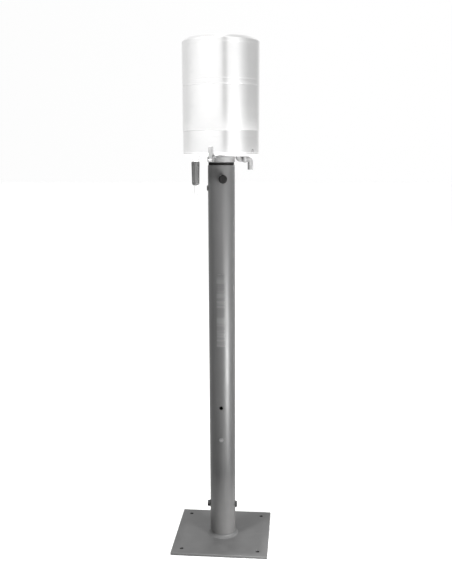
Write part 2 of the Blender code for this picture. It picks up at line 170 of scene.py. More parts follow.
def brushed_steel():
    """Bright sheet turned on a lathe: fine rings round the axis, a few longer marks, faint smears."""
    n = Nodes("brushed_steel")
    rings = n.noise(1.0, 4.0, 0.7, (9, 9, 2600))
    marks = n.noise(1.0, 2.0, 0.6, (26, 26, 420))
    smear = n.noise(9.0, 3.0)
    colour = n.mix(n.remap(smear, 0.3, 0.7, 0.0, 1.0), grey(0.86), grey(0.93, 0.004))
    colour = n.mix(n.remap(marks, 0.62, 0.8, 0.0, 0.35), colour, grey(0.7))
    rough = n.remap(rings, 0.25, 0.75, 0.15, 0.27)
    normal = n.bump(rings, 0.10, 0.00006)
    normal = n.bump(smear, 0.03, 0.0015, normal)
    return n.finish(colour, rough, normal, metallic=1.0)


def dull_steel(name, dark, light, rough_low, rough_high):
    """A duller metal, anything from matt stainless to blackened steel: mottled, with fine grain."""
    n = Nodes(name)
    mottle = n.noise(210.0, 4.0, 0.65)
    grain = n.noise(2600.0, 2.0)
    patches = n.cells(340.0)
    blend = n.multiply(n.remap(mottle, 0.25, 0.75, 0.0, 1.0), n.remap(patches, 0.0, 0.6, 0.6, 1.0))
    colour = n.mix(blend, grey(dark), grey(light))
    rough = n.remap(mottle, 0.3, 0.7, rough_low, rough_high)
    normal = n.bump(grain, 0.12, 0.00006)
    return n.finish(colour, rough, n.bump(mottle, 0.10, 0.0002, normal), metallic=1.0)


def post_paint():
    """Semi-gloss grey paint on tube: slight orange peel, dust, small chips. Painted light makes it lighter
    towards the top, and painted light thrown up from the plate, with a little dust, lightens the foot.
    """
    n = Nodes("post_paint")
    peel = n.noise(420.0, 2.0)
    dust = n.noise(16.0, 5.0, 0.6)
    streaks = n.noise(1.0, 4.0, 0.6, (120, 120, 5))
    chips = n.noise(330.0, 2.0, 0.5)
    colour = n.mix(n.remap(dust, 0.3, 0.7, 0.0, 1.0), grey(0.010), grey(0.015))
    # painted light: the colour lightens with height, standing in for more light on the upper tube
    colour = n.mix(n.remap(n.height(), 0.15, 0.9, 0.0, 0.9), colour, grey(0.050))
    colour = n.mix(n.remap(streaks, 0.45, 0.75, 0.0, 0.25), colour, grey(0.052))
    colour = n.mix(n.remap(chips, 0.73, 0.77, 0.0, 0.7), colour, grey(0.025))
    # painted light thrown up from the lit plate, with a little dust, lightens the lowest part of the tube
    foot = n.remap(n.height(), 0.04, 0.17, 0.75, 0.0)
    colour = n.mix(foot, colour, grey(0.062, 0.01))
    rough = n.remap(dust, 0.3, 0.7, 0.40, 0.49)
    normal = n.bump(peel, 0.14, 0.00025)
    return n.finish(colour, rough, normal, specular=0.28)


def plate_paint():
    """Matt grey paint on plate, scuffed and dusty on top, with painted shade darkening the upright cut
    edges.
    """
    n = Nodes("plate_paint")
    dust = n.noise(24.0, 6.0, 0.62)
    scuffs = n.noise(1.0, 4.0, 0.65, (16, 210, 60))
    grit = n.noise(1500.0, 2.0)
    colour = n.mix(n.remap(dust, 0.3, 0.7, 0.0, 1.0), grey(0.062), grey(0.084))
    colour = n.mix(n.remap(scuffs, 0.6, 0.8, 0.0, 0.35), colour, grey(0.125))
    # painted shade: faces that stand upright are darkened through their normal, standing in for less light
    # on the edges
    edge_shade_normal = n.new("ShaderNodeSeparateXYZ")
    n.link(n.new("ShaderNodeNewGeometry").outputs["Normal"], edge_shade_normal.inputs["Vector"])
    colour = n.mix(n.remap(edge_shade_normal.outputs["Z"], 0.1, 0.6, 0.0, 1.0), grey(0.028), colour)
    colour = n.mix(n.remap(n.height(), 0.0062, 0.0085, 0.0, 0.8), colour, grey(0.034))
    rough = n.remap(dust, 0.3, 0.7, 0.52, 0.66)
    normal = n.bump(grit, 0.2, 0.00012)
    return n.finish(colour, rough, n.bump(dust, 0.08, 0.0006, normal))


def rubber():
    """Black rubber with a faint bloom."""
    n = Nodes("rubber")
    bloom = n.noise(160.0, 4.0)
    colour = n.mix(bloom, grey(0.004), grey(0.009))
    return n.finish(colour, n.remap(bloom, 0.3, 0.7, 0.7, 0.86), n.bump(n.noise(1800.0), 0.15, 0.0001),
                    specular=0.04)


def black_oxide():
    """Blackened turned metal, almost matt, for the knob."""
    n = Nodes("black_oxide")
    wear = n.noise(240.0, 4.0, 0.6)
    colour = n.mix(n.remap(wear, 0.35, 0.75, 0.0, 1.0), grey(0.004), grey(0.010))
    rough = n.remap(wear, 0.3, 0.7, 0.5, 0.64)
    return n.finish(colour, rough, n.bump(wear, 0.1, 0.0001), specular=0.05)


def plastic():
    """Satin moulded plastic, a little weathered."""
    n = Nodes("plastic")
    fade = n.noise(70.0, 4.0)
    colour = n.mix(n.remap(fade, 0.3, 0.7, 0.0, 1.0), grey(0.036), grey(0.056))
    return n.finish(colour, n.remap(fade, 0.3, 0.7, 0.42, 0.54), n.bump(n.noise(2400.0), 0.12, 0.00006),
                    specular=0.3)


def label_film():
    """A blank, sun-faded film: faint worn bands and speckle, with no lettering."""
    n = Nodes("label_film")
    bands = n.noise(1.0, 1.0, 0.4, (14, 14, 150))
    wear = n.noise(210.0, 4.0, 0.7)
    colour = n.mix(n.remap(bands, 0.42, 0.62, 0.0, 1.0), grey(0.038), grey(0.052))
    colour = n.mix(n.remap(wear, 0.6, 0.75, 0.0, 0.5), colour, grey(0.034))
    return n.finish(colour, n.remap(wear, 0.3, 0.7, 0.30, 0.40), n.bump(wear, 0.1, 0.00008), specular=0.26)


STEEL = brushed_steel()
ZINC = dull_steel("zinc", 0.36, 0.5, 0.34, 0.46)
DARK = dull_steel("dark_steel", 0.045, 0.10, 0.34, 0.5)
CAST = dull_steel("cast_steel", 0.16, 0.22, 0.72, 0.84)
PIPE = dull_steel("pipe_steel", 0.24, 0.31, 0.80, 0.90)
SPOUT = dull_steel("spout_steel", 0.46, 0.55, 0.64, 0.74)
INNER = dull_steel("inner_steel", 0.42, 0.54, 0.30, 0.42)
NECK = dull_steel("neck_steel", 0.84, 0.94, 0.55, 0.68)
RIVET = dull_steel("rivet_steel", 0.20, 0.26, 0.75, 0.85)
BLACK = black_oxide()
POST_PAINT = post_paint()
PLATE_PAINT = plate_paint()
RUBBER = rubber()
PLASTIC = plastic()
FILM = label_film()


# ---------------------------------------------------------------- mesh work
def softened(profile, radius, closed):
    """Round every corner of a profile of (radius, height) points, given in metres."""
    pts = [Vector(p) for p in profile]
    count = len(pts)
    out = []
    for i, p in enumerate(pts):
        if not closed and i in (0, count - 1):
            out.append(tuple(p))
            continue
        a, b = pts[i - 1] - p, pts[(i + 1) % count] - p
        reach = min(radius, CORNER_SHARE * a.length, CORNER_SHARE * b.length)
        start, end = p + a.normalized() * reach, p + b.normalized() * reach
        for k in range(CORNER_STEPS + 1):
            t = k / CORNER_STEPS
            out.append(tuple(start * (1 - t) ** 2 + p * 2 * t * (1 - t) + end * t ** 2))
    return out


def mesh_object(name, bm, mat, matrix=None):
    bmesh.ops.recalc_face_normals(bm, faces=bm.faces)
    mesh = bpy.data.meshes.new(name)
    bm.to_mesh(mesh)
    bm.free()
    mesh.shade_smooth()
    mesh.set_sharp_from_angle(angle=math.radians(SMOOTH_ANGLE))
    mesh.materials.append(mat)
    obj = bpy.data.objects.new(name, mesh)
    if matrix is not None:
        obj.matrix_world = matrix
    bpy.context.scene.collection.objects.link(obj)
    return obj


def turned_mesh(profile, radius, closed, segments, wave):
    """A turned solid as a bmesh. wave(angle, r, z) may move a point's radius, for flutes and lobes."""
    bm = bmesh.new()
    points = softened([(r * MM, z * MM) for r, z in profile], radius, closed)
    rings = []
    for r, z in points:
        if r < 1e-7:
            rings.append([bm.verts.new((0.0, 0.0, z))])
            continue
        ring = []
        for k in range(segments):
            a = 2.0 * math.pi * k / segments
            rr = wave(a, r, z) if wave else r
            ring.append(bm.verts.new((rr * math.cos(a), rr * math.sin(a), z)))
        rings.append(ring)
    pairs = list(zip(rings, rings[1:]))
    if closed:
        pairs.append((rings[-1], rings[0]))
    for a, b in pairs:
        for k in range(segments):
            j = (k + 1) % segments
            if len(a) == 1:
                bm.faces.new((a[0], b[k], b[j]))
            elif len(b) == 1:
                bm.faces.new((a[k], b[0], a[j]))
            else:
                bm.faces.new((a[k], b[k], b[j], a[j]))
    return bm


def turned(name, profile, mat, matrix=None, radius=EDGE, closed=True, segments=FINE, wave=None):
    return mesh_object(name, turned_mesh(profile, radius, closed, segments, wave), mat, matrix)


def box_object(name, low, high, mat, bevel=0.4 * MM, matrix=None):
    low, high = Vector(low) * MM, Vector(high) * MM
    bm = bmesh.new()
    bmesh.ops.create_cube(bm, size=1.0, matrix=Matrix.Translation((low + high) / 2)
                          @ Matrix.Diagonal((*(high - low), 1)))
    if bevel:
        bmesh.ops.bevel(bm, geom=bm.edges[:], offset=bevel, segments=3, profile=0.5, affect="EDGES")
    return mesh_object(name, bm, mat, matrix)


def tube(name, points, r, mat, matrix, around, inner=0.0):
    """A round bar, or a hollow pipe when inner is given, along a path in the XZ plane."""
    bm = bmesh.new()
    side = Vector((0, 1, 0))

    def skin(radius):
        rings = []
        for i, p in enumerate(points):
            tangent = (points[min(i + 1, len(points) - 1)] - points[max(i - 1, 0)]).normalized()
            up = tangent.cross(side)
            rings.append([bm.verts.new(p + radius * (side * math.cos(t) + up * math.sin(t)))
                          for t in (2.0 * math.pi * k / around for k in range(around))])
        for a, b in zip(rings, rings[1:]):
            for k in range(around):
                j = (k + 1) % around
                bm.faces.new((a[k], a[j], b[j], b[k]))
        return rings

    outer = skin(r)
    if inner:
        bore = skin(inner)
        for end in (0, -1):
            for k in range(around):
                j = (k + 1) % around
                bm.faces.new((outer[end][k], outer[end][j], bore[end][j], bore[end][k]))
    else:
        bm.faces.new(outer[0])
        bm.faces.new(outer[-1])
    return mesh_object(name, bm, mat, matrix)


def bent_path(points, radius, n=10):
    """A path of (x, z) points in mm with its right-angle corners turned into arcs."""
    out = [Vector((points[0][0], 0, points[0][1])) * MM]
    for corner in zip(points, points[1:], points[2:]):
        p, q, r = (Vector((x, 0, z)) for x, z in corner)
        back, ahead = (p - q).normalized(), (r - q).normalized()
        centre = q + (back + ahead) * radius
        for i in range(n + 1):
            t = i / n * math.pi / 2.0
            out.append((centre - ahead * radius * math.cos(t) - back * radius * math.sin(t)) * MM)
    out.append(Vector((points[-1][0], 0, points[-1][1])) * MM)
    return out


def cut(obj, tools, operation="DIFFERENCE"):
    """Apply one Boolean after another, then remove the tools."""
    for tool in tools:
        mod = obj.modifiers.new("cut", "BOOLEAN")
        mod.operation = operation
        mod.solver = "EXACT"
        mod.object = tool
    bpy.context.view_layer.update()
    mesh = bpy.data.meshes.new_from_object(obj.evaluated_get(bpy.context.evaluated_depsgraph_get()))
    obj.modifiers.clear()
    obj.data = mesh
    mesh.shade_smooth()
    mesh.set_sharp_from_angle(angle=math.radians(CUT_SMOOTH_ANGLE))
    for tool in tools:
        bpy.data.objects.remove(tool, do_unlink=True)
    return obj


def drill(r, low, high, matrix=None, segments=SMALL):
    return turned("drill", [(0, high), (r, high), (r, low), (0, low)], STEEL, matrix, 0.0, False, segments)


def outwards(azimuth, z):
    """Local +Z points outwards from the axis along an azimuth, at a height in mm."""
    return (Matrix.Rotation(math.radians(azimuth), 4, "Z") @ Matrix.Translation((0, 0, z * MM))
            @ Matrix.Rotation(math.radians(90), 4, "X"))


def at_xy(x, y, z=0.0):
    return Matrix.Translation((x * MM, y * MM, z * MM))


def along_x(z):
    return Matrix.Translation((0, 0, z * MM)) @ Matrix.Rotation(math.radians(90), 4, "Y")


def hexagon(flat):
    """Radius of a hexagon of that half width across flats, as a wave for turned()."""
    def wave(a, r, z):
        sector = math.pi / 3.0
        local = (a + sector / 2) % sector - sector / 2
        return min(r, flat * MM / math.cos(local)) if r > flat * MM * 0.8 else r

    return wave


def put(piece, body, slot, *nodes):
    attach(piece, body)
    if nodes:
        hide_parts(*nodes)


def spans(node):
    """A node's box in mm, as two triples."""
    low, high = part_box(node)
    return [v / MM for v in low], [v / MM for v in high]


# ---------------------------------------------------------------- measures, mm
# Taken from the boxes of the frame's pieces where these give them. Azimuths are in degrees.
POST_LOW, POST_HIGH = spans("post_tube")
POST_R, POST_BOTTOM, POST_TOP = POST_HIGH[0], POST_LOW[2], POST_HIGH[2]
PLATE_HIGH = spans("base_plate")[1]
HEAD_R = spans("housing_barrel")[1][0]
GAP = 0.3                                     # left between pieces that touch in reality
POST_IN = POST_R - 2.9                        # the tube's wall is 2.9
SPIGOT_R = POST_IN - GAP
STUB_TOP = PLATE_HIGH[2]
PLATE_HALF, PLATE_T = PLATE_HIGH[0], 6.0
ANCHOR_XY, ANCHOR_R = 90.0, 4.5
BOLT_Z, HOLE_Z, PLUG_Z = 80.6, 335.0, 256.0
BOLT_HOLE, FRONT_HOLE = 4.5, 4.5              # radii of holes
KNOB_HOLE, SIDE_HOLE = 5.3, 4.3
SCREW_HOLE, PIN_HOLE = 2.3, 1.8
KNOB_AZ, KNOB_Z, KNOB_SEAT = 10.0, 871.0, 34.3
SCREW_AZ, SCREW_Z = -85.0, 850.0
LATCH_AZ, LATCH_Y, LATCH_Z = -9.5, -89.3, 913.0
EAR_IN, EAR_OUT = 4.4, 5.8
COCK_X = -59.0
PIPE_LEFT, PIPE_RIGHT, PIPE_Z, PIPE_END, PIPE_BEND = 38.0, 66.0, 914.6, 891.5, 6.6
PIPE_R = 6.0
PAN_Z = spans("head_base_pan")[0][2]
PAN_FLOOR, PAN_BEVEL = 925.0, 4.8
ON_PAN = PAN_FLOOR + GAP
SKIRT_LOW, SKIRT_TOP = spans("housing_skirt")[0][2], 976.5
SKIRT_R, SKIRT_IN = HEAD_R - 0.5, HEAD_R - 2.0
TONGUE_R, TONGUE_IN = HEAD_R - 1.8, HEAD_R - 3.3
BARREL_IN, SHELL_IN, RIM_IN = HEAD_R - 1.5, HEAD_R - 1.4, HEAD_R - 1.7
LIP_R, LIP_IN = HEAD_R - 2.3, HEAD_R - 4.3
BOSS_TOP, BOSS_LOW = 921.0, 908.0
BOSS_SCREW_CIRCLE, PAD_CIRCLE = 25.5, 55.0
CONE_TOP = 1147.7
BARREL_TOP = spans("housing_barrel")[1][2]
SHELL_LOW, SHELL_TOP = BARREL_TOP + GAP, spans("collector_shell")[1][2]
RIM_TOP, RIM_SHOULDER = spans("collector_rim")[1][2], 1168.5
MOUTH_R = 79.8
SEAM, SEAM_HALF = 0.8, 0.55                   # depth of the recess at a seam, and its height on each side
SHEET_EDGE = 0.12 * MM                        # broken edge of the drum's sheet, in metres like EDGE
RES_LOW, RES_TOP = spans("reservoir_can")[0][2], spans("reservoir_can")[1][2]
RES_R = spans("reservoir_can")[1][0]


# ---------------------------------------------------------------- stand
def base_plate():
    plate = box_object("base_plate_sheet", (-PLATE_HALF, -PLATE_HALF, 0), (PLATE_HALF, PLATE_HALF, PLATE_T),
                       PLATE_PAINT, 0.9 * MM)
    holes = []
    for sx, sy in ((1, -1), (1, 1), (-1, 1), (-1, -1)):
        holes.append(drill(ANCHOR_R, -4, 12, at_xy(sx * ANCHOR_XY, sy * ANCHOR_XY)))
    put(cut(plate, holes), "stand", "plate_paint", "base_plate")

    def ripple(a, r, z):
        return r + 0.25 * MM * math.sin(46 * a) * (1.0 if r > (POST_R + 1.0) * MM else 0.0)

    low = POST_BOTTOM - GAP
    bead = [(SPIGOT_R - 1, low), (POST_R, low), (POST_R + 0.9, 10.4), (POST_R + 2.2, 8.6),
            (POST_R + 4.2, 7.2), (POST_R + 6.8, PLATE_T + 0.25), (POST_R + 6.9, PLATE_T + 0.02),
            (SPIGOT_R - 1, PLATE_T + 0.02)]
    piece = turned("base_weld_bead", bead, PLATE_PAINT, None, 1.6 * MM, segments=276, wave=ripple)
    put(piece, "stand", "plate_paint")
    stub = [(SPIGOT_R - 3.5, STUB_TOP), (SPIGOT_R, STUB_TOP), (SPIGOT_R, low + 0.2),
            (SPIGOT_R - 3.5, low + 0.2)]
    piece = turned("base_stub", stub, PLATE_PAINT, None, 0.8 * MM)
    put(cut(piece, [drill(BOLT_HOLE, -40, 40, along_x(BOLT_Z))]), "stand", "plate_paint")


def post():
    wall = [(POST_IN, POST_TOP), (POST_R, POST_TOP), (POST_R, POST_BOTTOM), (POST_IN, POST_BOTTOM)]
    piece = turned("post_tube_skin", wall, POST_PAINT, None, 0.6 * MM, segments=WIDE)
    tools = [drill(BOLT_HOLE, -40, 40, along_x(BOLT_Z)), drill(FRONT_HOLE, 20, 40, outwards(0, HOLE_Z)),
             drill(FRONT_HOLE, 20, 40, outwards(0, PLUG_Z)),
             drill(KNOB_HOLE, 20, 40, outwards(KNOB_AZ, KNOB_Z)),
             drill(SIDE_HOLE, 20, 40, outwards(SCREW_AZ, SCREW_Z))]
    put(cut(piece, tools), "stand", "post_paint", "post_tube")

    low, high = POST_TOP + GAP, BOSS_LOW - GAP
    seal = [(SPIGOT_R + GAP, high), (28.6, high), (29.1, high - 0.8), (29.1, low + 0.8), (28.6, low),
            (SPIGOT_R + GAP, low)]
    put(turned("top_seal_ring", seal, RUBBER, None, 0.5 * MM), "stand", "black_rubber", "post_top_seal")

    plug = [(0, POST_R + 1.1), (3.0, POST_R + 1.0), (5.2, POST_R + 0.6), (5.2, POST_R + 0.3),
            (4.2, POST_R + 0.25), (4.2, POST_IN - 2.8), (0, POST_IN - 2.8)]
    piece = turned("hole_plug_cap", plug, PLASTIC, outwards(0, PLUG_Z), 0.3 * MM, False, MEDIUM)
    put(piece, "stand", "grey_plastic", "post_hole_plug")

    low, high = spans("post_label")
    film_in, film_out = POST_R + GAP, POST_R + GAP + 0.4
    strip = [(film_in, high[2]), (film_out, high[2]), (film_out, low[2]), (film_in, low[2])]
    film = turned("label_strip", strip, FILM, None, 0.1 * MM, segments=360)
    keep = box_object("keep", (low[0], low[1] - 5, low[2] - 3), (high[0], -20, high[2] + 3), STEEL, 0.0)
    put(cut(film, [keep], "INTERSECT"), "stand", "label_film", "post_label")


def base_bolt():
    tip, seat = POST_R + 4.85, -POST_R - 1.9
    head = [(0, tip), (3.2, tip), (4.0, tip - 0.8), (4.0, seat), (7.5, seat), (7.5, seat - 4.0),
            (6.3, seat - 4.8), (0, seat - 4.8)]
    piece = turned("base_bolt_m8", head, DARK, along_x(BOLT_Z), 0.25 * MM, False, MEDIUM, hexagon(6.5))
    put(piece, "stand", "dark_steel", "base_bolt")
    low, high = POST_R + 1.85, POST_R + 4.25
    nut = [(4.3, high), (6.3, high), (7.5, high - 0.6), (7.5, low + 0.5), (6.3, low), (4.3, low)]
    piece = turned("base_nut_m8", nut, DARK, along_x(BOLT_Z), 0.15 * MM, True, MEDIUM, hexagon(6.5))
    put(piece, "stand", "dark_steel", "base_nut")
    for side, low, high in (("left", -POST_R - 1.75, -POST_R - GAP),
                            ("right", POST_R + GAP, POST_R + 1.55)):
        ring = [(4.3, high), (8.2, high), (8.2, low), (4.3, low)]
        piece = turned("base_washer_ring_" + side, ring, DARK, along_x(BOLT_Z), 0.3 * MM, True, MEDIUM)
        put(piece, "stand", "zinc", "base_washer_" + side)


def clamp():
    ring = [(5.3, 34.0), (8.8, 34.0), (9.4, 33.4), (9.4, 27.0), (5.3, 27.0)]
    piece = turned("clamp_boss_ring", ring, POST_PAINT, outwards(KNOB_AZ, KNOB_Z), 0.4 * MM, True, MEDIUM)
    body = drill(POST_R + GAP, KNOB_Z - 30, KNOB_Z + 30, None, WIDE)
    put(cut(piece, [body]), "stand", "post_paint", "clamp_boss")

    def knurl(a, r, z):
        gripping = 3.2 * MM < z - KNOB_SEAT * MM < 11.4 * MM and r > 9.0 * MM
        return r - (0.45 * MM * abs(math.sin(12 * a)) if gripping else 0.0)

    grip = [(0, 48.2), (2.6, 48.1), (3.0, 47.8), (5.6, 47.7), (7.6, 47.6), (9.6, 46.3), (9.6, 45.5),
            (9.6, 44.6), (9.6, 38.8), (9.6, 37.6), (9.6, 36.3), (8.0, 34.4), (5.0, KNOB_SEAT),
            (5.0, POST_IN), (0, POST_IN)]
    piece = turned("clamp_knob_grip", grip, BLACK, outwards(KNOB_AZ, KNOB_Z), 0.3 * MM, False, 144, knurl)
    put(piece, "clamp_knob", "dark_steel", "clamp_knob")

    top = POST_R + 2.5
    screw = [(0, top - 1.6), (2.6, top - 1.6), (2.9, top - 0.5), (3.2, top), (5.0, top), (6.2, top - 0.9),
             (6.2, POST_R + 0.35), (4.0, POST_R + GAP), (4.0, POST_IN), (0, POST_IN)]
    piece = turned("side_screw_cap", screw, POST_PAINT, outwards(SCREW_AZ, SCREW_Z), 0.3 * MM, False,
                   MEDIUM)
    put(piece, "stand", "post_paint", "side_set_screw")


# ---------------------------------------------------------------- head
def boss_screw_places():
    angles = [math.radians(a) for a in (30, 150, 270)]
    return [(BOSS_SCREW_CIRCLE * math.sin(a), -BOSS_SCREW_CIRCLE * math.cos(a)) for a in angles]


def head_frame():
    spigot = [(20, BOSS_TOP), (30.4, BOSS_TOP), (31, 920.4), (31, 913.4), (30.5, 912.8), (31, 912.2),
              (31, 909.2), (30, BOSS_LOW), (SPIGOT_R, BOSS_LOW), (SPIGOT_R, 815), (23.5, 815), (23.5, 905),
              (20, 907.8)]
    ways = [drill(SCREW_HOLE, 911, 927, at_xy(x, y), 24) for x, y in boss_screw_places()]
    put(cut(turned("head_spigot_boss", spigot, CAST, None, 0.5 * MM), ways), "head", "zinc", "head_spigot")

    disc_r = SKIRT_R - 0.3
    pan = [(0, PAN_FLOOR), (LIP_IN - 1.3, PAN_FLOOR), (LIP_IN, PAN_FLOOR + 1.4), (LIP_IN, 936),
           (LIP_R, 936), (LIP_R, 927.7), (disc_r, 927.7), (disc_r, PAN_Z + PAN_BEVEL),
           (disc_r - PAN_BEVEL, PAN_Z), (47, PAN_Z), (46.2, PAN_Z + 0.7), (43.8, PAN_Z + 0.7), (43, PAN_Z),
           (0, PAN_Z)]
    ways = [drill(SCREW_HOLE, 911, 928, at_xy(x, y), 24) for x, y in boss_screw_places()]
    ways += [drill(5.3, 915, 930, at_xy(COCK_X, 0)), drill(PIPE_R + 0.5, 915, 930, at_xy(PIPE_LEFT, 0))]
    piece = cut(turned("base_pan_spun", pan, STEEL, None, 1.4 * MM, False, WIDE), ways)
    put(piece, "head", "stainless", "head_base_pan")

    for i, (x, y) in enumerate(boss_screw_places()):
        screw = [(0, 927.4), (1.5, 927.4), (1.9, 929.3), (3.6, 929.0), (3.6, ON_PAN), (2.0, ON_PAN),
                 (2.0, 912), (0, 912)]
        piece = turned("boss_screw_head_%d" % (i + 1), screw, DARK, at_xy(x, y), 0.25 * MM, False, SMALL)
        put(piece, "head", "dark_steel", "boss_screw_%d" % (i + 1))
    for i in range(3):
        t = math.radians(120 * i)
        pad = [(0, 939.7), (4.6, 939.7), (6.0, 938.4), (6.0, ON_PAN), (0, ON_PAN)]
        piece = turned("reservoir_pad_foot_%d" % (i + 1), pad, RUBBER,
                       at_xy(PAD_CIRCLE * math.sin(t), -PAD_CIRCLE * math.cos(t)), 0.6 * MM, False, SMALL)
        put(piece, "head", "black_rubber", "reservoir_pad_%d" % (i + 1))


def drain_cock():
    body = [(2.8, 934), (4.6, 934), (5.0, 933.6), (5.0, 921), (9.6, 921), (10.0, 920.6), (10.0, 918.4),
            (9.4, 917.8), (7.6, 917.2), (7.0, 916.4), (7.0, 912.6), (6.5, 912.2), (6.5, 911.4),
            (7.0, 911.0), (7.0, 909), (5.0, 909), (5.0, 862), (2.8, 862)]
    piece = turned("drain_cock_neck", body, NECK, at_xy(COCK_X, 0), 0.3 * MM, True, MEDIUM)
    put(piece, "head", "stainless", "drain_cock_body")
    nut = [(5.3, 930), (8.0, 930), (9.2, 929.2), (9.2, 926.1), (8.0, ON_PAN), (5.3, ON_PAN)]
    piece = turned("drain_lock_nut_hex", nut, DARK, at_xy(COCK_X, 0), 0.2 * MM, True, MEDIUM, hexagon(7.9))
    put(piece, "head", "dark_steel", "drain_lock_nut")
    spout = [(1.6, 868), (2.5, 868), (2.5, 838.2), (2.2, 836), (1.6, 836)]
    piece = turned("drain_spout_tube", spout, SPOUT, at_xy(COCK_X, 0), 0.2 * MM, True, SMALL)
    put(piece, "head", "stainless", "drain_spout")

    def flutes(a, r, z):
        low, high = 862 * MM, 904 * MM
        if r < 7.9 * MM or not low < z < high:
            return r
        fade = min(1.0, (z - low) / (4 * MM), (high - z) / (4 * MM))
        return r - 0.55 * MM * fade * (0.5 + 0.5 * math.cos(10 * a)) ** 2

    side = [(9.3, 907.5)] + [(9.3 - 0.8 * t / 10, 905 - 44 * t / 10) for t in range(11)]
    foot = [(7.9, 858.6), (6.6, 856.9), (4.6, 856.1), (2.8, 856), (2.8, 861.5), (5.3, 861.5)]
    sleeve = [(5.3, 908.7), (8.8, 908.7)] + side + foot
    piece = turned("drain_sleeve_grip", sleeve, PLASTIC, at_xy(COCK_X, 0), 0.5 * MM, True, 120, flutes)
    put(piece, "drain_sleeve", "grey_plastic", "drain_sleeve")


def overflow():
    run = [(PIPE_LEFT, PAN_FLOOR + 1.5), (PIPE_LEFT, PIPE_Z), (PIPE_RIGHT, PIPE_Z), (PIPE_RIGHT, PIPE_END)]
    piece = tube("overflow_pipe_bent", bent_path(run, PIPE_BEND), PIPE_R * MM, PIPE, None, 40,
                 (PIPE_R - 1.2) * MM)
    put(piece, "head", "stainless", "overflow_pipe")
    block = box_object("overflow_saddle_block", (51, -10, 907), (57, 10, PAN_Z - GAP), PIPE, 1.0 * MM)
    hole = drill(PIPE_R + 0.5, 46, 62, along_x(PIPE_Z))
    put(cut(block, [hole]), "head", "grey_plastic", "overflow_saddle")


def latch():
    turn = Matrix.Rotation(math.radians(LATCH_AZ), 4, "Z")
    pivot = turn @ Matrix.Translation((0, LATCH_Y * MM, LATCH_Z * MM))
    hinge = pivot @ Matrix.Rotation(math.radians(90), 4, "Y")
    bracket = box_object("latch_bracket_folded", (-EAR_OUT, LATCH_Y - 3.2, 909.6),
                         (EAR_OUT, -66.0, BOSS_TOP), CAST, 0.5 * MM, turn)
    tools = [box_object("slot", (-EAR_IN, -95, 905), (EAR_IN, LATCH_Y + 4.1, 925), STEEL, 0.0, turn),
             box_object("slot", (-12, -81, 905), (12, -60, 918.5), STEEL, 0.0, turn),
             box_object("slot", (-EAR_IN, LATCH_Y + 3.6, 905), (EAR_IN, -80, 918.5), STEEL, 0.0, turn),
             drill(PIN_HOLE, -12, 12, hinge, 24)]
    put(cut(bracket, tools), "head", "zinc", "latch_bracket")
    end = EAR_OUT + 0.6
    pin = [(0, end), (1.1, end), (1.5, end - 0.4), (1.5, 0.4 - end), (1.1, -end), (0, -end)]
    put(turned("latch_hinge_pin", pin, DARK, hinge, 0.2 * MM, False, 24), "head", "dark_steel", "latch_pin")

    outline = [(-4.0, -1), (4.0, -1), (4.0, 14), (4.9, 18), (4.9, 27), (3.6, 29), (-3.6, 29), (-4.9, 27),
               (-4.9, 18), (-4.0, 14)]
    bm = bmesh.new()
    sides = [[bm.verts.new((x * MM, y * MM, z * MM)) for x, z in outline] for y in (-1.0, 1.0)]
    bm.faces.new(sides[0])
    bm.faces.new(sides[1][::-1])
    for i in range(len(outline)):
        j = (i + 1) % len(outline)
        bm.faces.new((sides[0][j], sides[0][i], sides[1][i], sides[1][j]))
    bmesh.ops.bevel(bm, geom=bm.edges[:], offset=0.35 * MM, segments=3, profile=0.5, affect="EDGES")
    lever = mesh_object("latch_lever_plate", bm, ZINC, pivot)
    barrel = [(0, 3.95), (3.2, 3.95), (3.2, -3.95), (0, -3.95)]
    eye = turned("eye", barrel, ZINC, hinge, 0.3 * MM, False, SMALL)
    cut(lever, [eye], "UNION")
    put(cut(lever, [drill(PIN_HOLE, -12, 12, hinge, 24)]), "latch", "zinc", "latch_lever")


